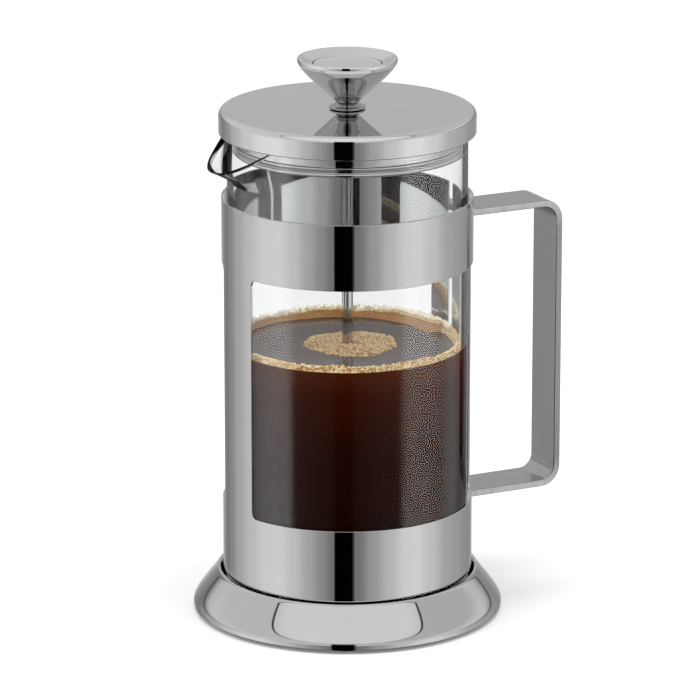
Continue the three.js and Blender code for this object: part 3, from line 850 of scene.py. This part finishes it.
def build_patch(draw):
    """A patch of pale foam around the rod, a little to the camera's right."""
    patch_r = 18.5 * MM
    shift = 1.6 * MM
    patch_x, patch_y = shift * math.cos(VIEW_AZIMUTH), shift * math.sin(VIEW_AZIMUTH)
    vertices, faces = [], []
    sides, steps = 96, 10

    def patch_point(a, share):
        edge = patch_r * (1 + 0.05 * math.sin(3 * a + 0.4) + 0.03 * math.sin(7 * a))
        return edge * share, COFFEE_Z - 0.15 * MM + 0.85 * MM * (1 - share ** 5)

    for i in range(sides):
        a = TURN * i / sides
        for k in range(1, steps + 1):
            r, z = patch_point(a, k / steps)
            vertices.append((patch_x + r * math.cos(a), patch_y + r * math.sin(a), z))
    centre = len(vertices)
    vertices += [(patch_x, patch_y, COFFEE_Z + 0.7 * MM), (patch_x, patch_y, COFFEE_Z - 0.5 * MM)]
    for i in range(sides):
        here, there = i * steps, (i + 1) % sides * steps
        faces += [(here + k, here + k + 1, there + k + 1, there + k) for k in range(steps - 1)]
        faces += [(centre, here, there), (centre + 1, there + steps - 1, here + steps - 1)]

    def on_patch(draw, radius):
        a = draw.uniform(0, TURN)
        r, z = patch_point(a, math.sqrt(draw.uniform(0.02, 1)))
        return patch_x + r * math.cos(a), patch_y + r * math.sin(a), z - 0.15 * MM

    bed = (vertices, faces)
    scatter(draw, 1000, on_patch, bed, (0.3 * MM, 0.75 * MM), "foam_patch", ["foam_seam_shade", "foam_pale"])


# ---- Lid ----


def build_lid():
    start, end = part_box("lid_shell")
    outer, top, skirt = end.x, end.z, start.z
    wall = 1.0 * MM
    edge = 2.5 * MM
    shell = rounded([
        (LID_HOLE, top - wall, 0),
        (outer - wall, top - wall, edge - wall),
        (outer - wall, skirt, 0.15 * MM),
        (outer, skirt, 0.6 * MM),
        (outer, top, edge),
        (LID_HOLE, top, 0.1 * MM),
    ], 10)
    stands_for(lathe("lid_cover", shell, ["polished_lid"], 256), "lid", "polished_lid", "lid_shell")

    start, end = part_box("lid_pan")
    bottom, top, rim = start.z, end.z, end.x
    wall = 0.8 * MM
    skirt = GLASS_INNER_R - 0.4 * MM
    bead = 0.45 * MM
    pan = [(LID_HOLE, top - wall), (skirt - wall, top - wall), (skirt - wall, bottom + 4.6 * MM)]
    pan += arc(skirt - wall - 0.1 * MM, bottom + 3.4 * MM, 0.6 * MM, 60, -60, 5)
    pan += arc(skirt - wall + 0.1 * MM, bottom + 1.0 * MM, 0.7 * MM, 120, 240, 5)
    pan += arc(skirt - bead, bottom + 1.0 * MM, 2 * bead, -80, 80, 8)
    pan += arc(skirt - bead - 0.1 * MM, bottom + 3.4 * MM, 0.8 * MM, -60, 70, 6)
    pan += [(skirt - 0.4 * MM, bottom + 4.6 * MM), (skirt - 0.4 * MM, top - wall)]
    pan += [(rim, top - wall), (rim, top), (LID_HOLE, top)]
    stands_for(lathe("lid_inner_pan", pan, ["polished_pan"], 192), "lid", "polished_lid", "lid_pan")


def build_guide():
    """The bushing that the rod slides in, with the washer and the nut that hold it in the lid."""
    start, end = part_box("lid_bushing")
    tail, top = start.z, end.z
    flange_r = end.x
    flange_z = high("lid_shell").z + 0.3 * MM
    bushing = rounded([
        (BUSHING_BORE, tail, 0.1 * MM),
        (BUSHING_R, tail, 0.3 * MM),
        (BUSHING_R, flange_z, 0),
        (flange_r, flange_z, 0.25 * MM),
        (flange_r, flange_z + 0.8 * MM, 0.5 * MM),
        (5.5 * MM, flange_z + 0.8 * MM, 0.3 * MM),
        (BUSHING_R, top, 0.3 * MM),
        (BUSHING_BORE, top, 0.2 * MM),
    ])
    # The bushing takes a darker copy of the steel: painted shade under the knob.
    bushing = lathe("guide_bushing", bushing, ["polished_neck_shaded"], 96)
    stands_for(bushing, "guide", "polished_knob", "lid_bushing")

    start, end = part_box("bushing_washer")
    hole = circle(LID_HOLE, 48)
    washer = plate("guide_washer", circle(end.x, 64), [hole], start.z, end.z, ["plain_steel"])
    stands_for(washer, "guide", "plain_steel", "bushing_washer")
    start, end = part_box("bushing_nut")
    across = max(end.x, end.y)
    nut = plate("guide_nut", circle(across, 6), [hole], start.z, end.z, ["plain_steel"], 0.3 * MM)
    stands_for(nut, "guide", "plain_steel", "bushing_nut")


# ---- Plunger ----


def build_knob():
    start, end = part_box("knob_shell")
    bottom, top, brim = start.z, end.z, end.x
    cap_top = high("knob_cap").z
    cap_r = high("knob_cap").x
    seat = cap_r + 0.3 * MM
    cone_z = top - 2.4 * MM
    side = curve([
        (5.1 * MM, bottom + 0.2 * MM),
        (11.5 * MM, bottom + 6.6 * MM),
        (brim, top - 4.2 * MM),
        (brim, top - 0.9 * MM),
    ], 20)
    shell = rounded([
        (2.5 * MM, bottom, 0),
        (4.9 * MM, bottom, 0),
        *side,
        (brim - 0.25 * MM, top, 0.45 * MM),
        (brim - 1.0 * MM, top, 0.4 * MM),
        (seat, cap_top, 0.3 * MM),
        (seat, cap_top - 1.6 * MM, 0),
        (16.2 * MM, top - 4.4 * MM, 0.3 * MM),
        (5.0 * MM, bottom + 2.2 * MM, 0.3 * MM),
        (2.5 * MM, bottom + 1.2 * MM, 0),
    ], 8)
    knob = lathe("knob", shell, ["polished_knob", "polished_cone_shaded"], 192)
    # Below the brim the knob takes the darker copy of its steel: painted shade on the cone.
    for face in knob.data.polygons:
        face.material_index = 1 if face.center.z < cone_z else 0
    stands_for(knob, "plunger", "polished_knob", "knob_shell")
    z0 = low("knob_cap").z
    disc = rounded([
        (0, z0, 0),
        (cap_r, z0, 0),
        (cap_r, cap_top - 0.1 * MM, 0.25 * MM),
        (cap_r - 2 * MM, cap_top, 1 * MM),
        (0, cap_top, 0),
    ])
    stands_for(lathe("knob_disc", disc, ["polished_disc"], 160), "plunger", "polished_knob", "knob_cap")


def build_rod():
    start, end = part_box("plunger_rod")
    thread = []
    pitch = 0.7 * MM
    turns = 9
    for i in range(turns):
        z = start.z + 0.5 * MM + i * pitch
        thread += [(ROD_R - 0.3 * MM, z, 0), (ROD_R, z + pitch / 2, 0)]
    rod = rounded([
        (0, start.z, 0), (ROD_R - 0.5 * MM, start.z, 0.1 * MM), *thread,
        (ROD_R, start.z + (turns + 0.8) * pitch, 0), (ROD_R, end.z, 0.4 * MM), (0, end.z, 0),
    ], 4)
    stands_for(lathe("rod", rod, ["polished_rod"], 64), "plunger", "polished_rod", "plunger_rod")


def build_press_plate():
    """A disc with a ring of drain holes."""
    start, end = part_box("press_plate")
    ring_r = 0.68 * end.x
    drains = [circle(2.6 * MM, 24, x, y) for x, y in circle(ring_r, 12)]
    holes = [circle(ROD_HOLE, 48), *drains]
    press = plate("press_disc", circle(end.x, 160), holes, start.z, end.z, ["filter_steel"])
    stands_for(press, "plunger", "filter_steel", "press_plate")


def build_spring():
    """A wire coiled around a ring."""
    start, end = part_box("filter_spring")
    minor = (end.z - start.z) / 2
    major = end.x - minor
    centre_z = (start.z + end.z) / 2
    wire = 0.3 * MM
    turns, per_turn, around = 96, 14, 6
    vertices = []
    count = turns * per_turn
    for i in range(count):
        a = TURN * i / count
        b = TURN * i / per_turn
        out = Vector((math.cos(a), math.sin(a), 0))
        coil = out * math.cos(b) + Vector((0, 0, 1)) * math.sin(b)
        centre = out * major + Vector((0, 0, centre_z)) + coil * (minor - wire)
        along = Vector((-math.sin(a), math.cos(a), 0))
        lead = (out * -math.sin(b) + Vector((0, 0, 1)) * math.cos(b)) * (minor * turns) + along * major
        side = lead.cross(coil).normalized()
        for k in range(around):
            c = TURN * k / around
            vertices.append(centre + wire * (coil * math.cos(c) + side * math.sin(c)))
    spring = mesh_object("coil_spring", vertices, ring_faces(count, around), ["filter_steel"], 180)
    stands_for(spring, "plunger", "filter_steel", "filter_spring")


def build_cloth():
    """The woven filter: a disc with its rim turned up and gathered."""
    start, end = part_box("mesh_filter")
    r, z0, z1 = end.x, start.z, end.z
    cloth = 0.4 * MM
    fold = z0 + 1.6 * MM
    outside = [(ROD_HOLE, z0), (r - 1 * MM, z0)] + arc(r - 1 * MM, z0 + 1 * MM, 1 * MM, -90, 0, 5)
    outside += [(r, z1 - 0.3 * MM), (r - cloth / 2, z1), (r - cloth, z1 - 0.3 * MM)]
    inside = arc(r - 1 * MM, z0 + 1 * MM, 1 * MM - cloth, 0, -90, 5) + [(ROD_HOLE, z0 + cloth)]

    def crimp(x, y, z):
        """The turned-up rim is gathered in small waves."""
        share = max(0.0, min(1.0, (z - fold) / (z1 - fold)))
        wave = 0.25 * MM * share * (math.sin(72 * math.atan2(y, x)) - 1)
        radius = math.hypot(x, y)
        return x * (radius + wave) / radius, y * (radius + wave) / radius, z

    cloth_piece = lathe("filter_cloth", outside + inside, ["filter_mesh"], 576, crimp)
    stands_for(cloth_piece, "plunger", "filter_mesh", "mesh_filter")


def build_cross():
    """A wheel with four spokes under the filter."""
    start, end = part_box("cross_plate")
    outer = end.x
    inner = outer - 4.5 * MM
    hub = 9 * MM
    arm = 4.5 * MM
    gaps = []
    for i in range(4):
        turn = TURN * i / 4
        near, far = math.asin(arm / hub), math.asin(arm / inner)
        loop = [(inner, turn + far + (TURN / 4 - 2 * far) * k / 20) for k in range(21)]
        loop += [(hub, turn + TURN / 4 - near - (TURN / 4 - 2 * near) * k / 6) for k in range(7)]
        gaps.append([(radius * math.cos(a), radius * math.sin(a)) for radius, a in loop])
    holes = [circle(ROD_HOLE, 48), *gaps]
    cross = plate("cross_wheel", circle(outer, 160), holes, start.z, end.z, ["filter_steel"])
    stands_for(cross, "plunger", "filter_steel", "cross_plate")


def build_clamps():
    """The nuts above and below that clamp the filter stack to the rod."""
    start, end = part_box("rod_collar")
    hole = circle(ROD_HOLE, 48)
    collar = plate("clamp_nut", circle(end.x, 6), [hole], start.z, end.z, ["plain_steel"], 0.3 * MM)
    stands_for(collar, "plunger", "plain_steel", "rod_collar")
    start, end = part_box("hub_nut")
    hub_profile = rounded([
        (ROD_HOLE, start.z, 0.2 * MM),
        (end.x, start.z, 0.8 * MM),
        (end.x, end.z, 0.3 * MM),
        (ROD_HOLE, end.z, 0.2 * MM),
    ])
    stands_for(lathe("hub_cap_nut", hub_profile, ["plain_steel"], 96), "plunger", "plain_steel", "hub_nut")


# ---- Studio ----

# Brightness that the polished steel shows, by angle in degrees from the camera: right is positive.
SURROUND = [
    (-180, 190), (-168, 168), (-158, 132), (-146, 114), (-134, 132), (-120, 161), (-100, 185), (-82, 202),
    (-66, 206), (-50, 188), (-36, 162), (-24, 136), (-14, 112), (0, 104), (10, 112), (24, 150),
    (40, 181), (56, 203), (66, 206), (84, 190), (104, 162), (122, 152), (140, 138), (152, 129), (164, 146),
    (180, 190),
]
GAP_BETWEEN_LIGHTS = (-12, 6)
STEEL_TONE = 0.70
BEHIND = 0.51
LOW_CEILING = 0.72
CEILING_LEFT = 0.66
CEILING_RIGHT = 0.56
PANEL = 0.84
PANEL_CENTRE = 0.80
PANEL_DEPTH = 0.94
PANEL_WIDTH = 1.12
PANEL_POWER = 2.2
PANEL_RIM = 0.05
UNDERSIDE = 0.20
HORIZON = 0.10
GAP_TONE = 0.0006
DIFFUSE_LIGHT = 0.56


def build_world():
    """White for the camera. Mirrors see a studio: soft walls with a dark gap, under a ceiling panel."""
    world = bpy.data.worlds.new("studio")
    bpy.context.scene.world = world
    world.use_nodes = True
    n = Nodes(world.node_tree)
    direction = n.add("ShaderNodeTexCoord").outputs["Generated"]
    to_camera = VIEW_AZIMUTH - math.pi / 2
    turn = {"Vector": direction, "Angle": -to_camera}
    turned = n.add("ShaderNodeVectorRotate", turn, rotation_type="Z_AXIS")
    axes = n.axes(turned.outputs[0])
    x, y, z = (axes[axis] for axis in "XYZ")
    angle = n.math("ARCTAN2", y, x)
    around = n.fade(angle, -math.pi, math.pi)

    def place(degrees):
        return (degrees + 180) / 360

    stops = [(place(a), grey(tone) / STEEL_TONE) for a, tone in SURROUND]
    wall = n.ramp(around, stops, "EASE")
    wall = n.mix(n.fade(z, -0.42, -0.58), wall, UNDERSIDE)
    low_ceiling = n.mix(n.fade(x, -0.86, -0.55), BEHIND, LOW_CEILING)
    wall = n.mix(n.fade(z, 0.14, 0.22), wall, low_ceiling)
    line = n.math("MULTIPLY", n.fade(z, 0.095, 0.115), n.fade(z, 0.155, 0.135))
    wall = n.mix(n.math("MULTIPLY", line, 0.75), wall, HORIZON)
    ceiling = n.mix(n.fade(y, -0.5, 0.5), CEILING_LEFT, CEILING_RIGHT)

    height = n.math("MAXIMUM", z, 0.02)
    off = n.math("SUBTRACT", n.math("DIVIDE", x, height), PANEL_CENTRE)
    u = n.math("DIVIDE", n.math("ABSOLUTE", off), PANEL_DEPTH)
    v = n.math("DIVIDE", n.math("ABSOLUTE", n.math("DIVIDE", y, height)), PANEL_WIDTH)
    reach = n.math("ADD", n.math("POWER", u, PANEL_POWER), n.math("POWER", v, PANEL_POWER))
    reach = n.math("POWER", reach, 1 / PANEL_POWER)
    panel = n.ramp(n.math("MULTIPLY", reach, 0.5), [
        (0.0, PANEL), (0.40, PANEL), (0.489, PANEL * 0.88), (0.497, PANEL_RIM), (1.0, PANEL_RIM),
    ])
    panel = n.mix(n.fade(reach, 1.015, 1.035), panel, ceiling)
    seen = n.mix(n.fade(z, 0.30, 0.40), wall, panel)

    dark_from, dark_to = (place(a) for a in GAP_BETWEEN_LIGHTS)
    soft = 0.002
    gap = n.ramp(around, [
        (dark_from - soft, 0.0), (dark_from + soft, 1.0), (dark_to - soft, 1.0), (dark_to + soft, 0.0),
    ])
    seen = n.mix(n.math("MULTIPLY", gap, n.fade(z, 0.52, 0.40)), seen, GAP_TONE)

    away = n.math("ABSOLUTE", angle)
    through = n.ramp(n.math("DIVIDE", away, math.pi), [
        (0.0, 0.80), (0.55, 0.80), (0.66, 0.30), (0.80, 0.22), (0.86, 0.45), (0.93, 0.90), (1.0, 0.93),
    ], "EASE")
    through = n.mix(n.fade(z, -0.45, -0.70), through, 0.35)
    through = n.mix(n.fade(z, 0.05, 0.35), through, 0.45)

    path = n.add("ShaderNodeLightPath").outputs
    colour = n.mix(n.math("GREATER_THAN", path["Transmission Depth"], 0.5), 1.0, through)
    colour = n.mix(n.math("GREATER_THAN", path["Glossy Depth"], 0.5), colour, seen)
    colour = n.mix(n.math("GREATER_THAN", path["Diffuse Depth"], 0.5), colour, DIFFUSE_LIGHT)
    background = n.add("ShaderNodeBackground", {"Color": colour, "Strength": 1.0})
    n.add("ShaderNodeOutputWorld", {"Surface": background.outputs[0]})


TABLE_HALF = 30
TABLE_FADE = (0.8, 1.8)


def build_table():
    """A white table that fades into the white surround. Mirrors don't see it: they see the studio."""
    def paper(n):
        grain = n.noise(n.stretched((6, 6, 6)), 1.0, 2)
        colour = n.ramp(grain, [(0.3, 0.90), (0.7, 0.92)])
        white = n.add("ShaderNodeBsdfDiffuse", {"Color": colour}).outputs[0]
        clear = n.add("ShaderNodeBsdfTransparent").outputs[0]
        path = n.add("ShaderNodeLightPath").outputs
        bent = n.math("ADD", path["Glossy Depth"], path["Transmission Depth"])
        away = n.add("ShaderNodeVectorMath", {0: n.place()}, operation="LENGTH").outputs["Value"]
        hidden = n.math("MAXIMUM", n.math("GREATER_THAN", bent, 0.5), n.fade(away, *TABLE_FADE))
        return n.add("ShaderNodeMixShader", {0: hidden, 1: white, 2: clear}).outputs[0]

    MATERIALS["paper"] = material("paper", paper)
    corners = [(x * TABLE_HALF, y * TABLE_HALF, 0) for x, y in ((-1, -1), (1, -1), (1, 1), (-1, 1))]
    table = mesh_object("table", corners, [(0, 1, 2, 3)], ["paper"])


def area_light(name, place, size, power, aim=(0, 0, 0.1)):
    """A rectangular light in metres and watts, turned to aim. The camera and the mirrors don't see it."""
    data = bpy.data.lights.new(name, "AREA")
    data.shape = "RECTANGLE"
    data.size, data.size_y = size
    data.energy = power
    light = placed(name, data)
    light.location = place
    light.rotation_euler = (Vector(aim) - Vector(place)).to_track_quat("-Z", "Y").to_euler()
    light.visible_glossy = False
    light.visible_camera = False
    light.visible_transmission = False
    return light


BOX_REACH = (-4.0, 1.4)
BOX_SIZE = (5.3, 2.4)
BOX_POWER = 270


def soften(data, toward):
    """Shades a soft box from its far end to its near end, in metres along toward."""
    data.use_nodes = True
    n = Nodes(data.node_tree)
    place = n.add("ShaderNodeNewGeometry").outputs["Position"]
    both = {0: place, 1: tuple(toward)}
    along = n.add("ShaderNodeVectorMath", both, operation="DOT_PRODUCT").outputs["Value"]
    strength = n.ramp(n.fade(along, *BOX_REACH), [
        (0.0, 0.015), (0.41, 0.05), (0.66, 0.36), (0.79, 0.85), (0.88, 1.0), (0.985, 0.0),
    ], "EASE")
    glow = n.add("ShaderNodeEmission", {"Color": strength, "Strength": 1.0})
    n.add("ShaderNodeOutputLight", {"Surface": glow.outputs[0]})


def group_of(name, *pieces):
    group = bpy.data.collections.new(name)
    for piece in pieces:
        group.objects.link(bpy.data.objects[piece])
    return group


def build_lights():
    """Lights from overhead and each side, soft boxes that only the glass sees, and a fill for the foam."""
    right = Vector((math.cos(VIEW_AZIMUTH), math.sin(VIEW_AZIMUTH), 0))
    toward = Vector((math.sin(VIEW_AZIMUTH), -math.cos(VIEW_AZIMUTH), 0))
    up = Vector((0, 0, 1))
    area_light("overhead", 2.6 * up, (3.2, 3.2), 58)
    area_light("left", -1.6 * right + 0.9 * toward + 1.2 * up, (1.4, 1.4), 13)
    area_light("right", 1.6 * right + 0.7 * toward + 1.2 * up, (1.4, 1.4), 13)

    glassware = group_of("glassware", "beaker")
    for side, name in ((-1, "left_box"), (1, "right_box")):
        spot = 1.5 * side * right - 1.3 * toward - 0.5 * up
        box = area_light(name, spot, BOX_SIZE, BOX_POWER, spot - side * right)
        box.visible_glossy = True
        box.light_linking.receiver_collection = glassware
        soften(box.data, toward)
    froth = group_of("froth", "foam_collar", "foam_edge", "foam_bubbles", "foam_patch")
    spot = 1.2 * toward + 1.1 * up - 0.3 * right
    fill = area_light("foam_fill", spot, (0.9, 0.9), 21, (0, 0, COFFEE_Z))
    fill.light_linking.receiver_collection = froth
    fill.light_linking.blocker_collection = froth


build_sleeve()
build_handle()
build_foot()
build_floor()
build_glass()
build_coffee()
foam_draw = random.Random(7)
build_collar(foam_draw)
build_patch(foam_draw)
build_lid()
build_guide()
build_knob()
build_rod()
build_press_plate()
build_spring()
build_cloth()
build_cross()
build_clamps()

for node, slot in {
    "base_insert": "black_plastic",
    "base_screw_1": "plain_steel",
    "base_screw_2": "plain_steel",
    "base_screw_3": "plain_steel",
    "lid_liner": "black_plastic",
    "knob_core": "black_plastic",
}.items():
    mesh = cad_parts[node].data
    mesh.materials.clear()
    mesh.materials.append(MATERIALS[slot])

make_camera()
build_world()
build_table()
build_lights()
bpy.context.scene.view_settings.view_transform = "Standard"
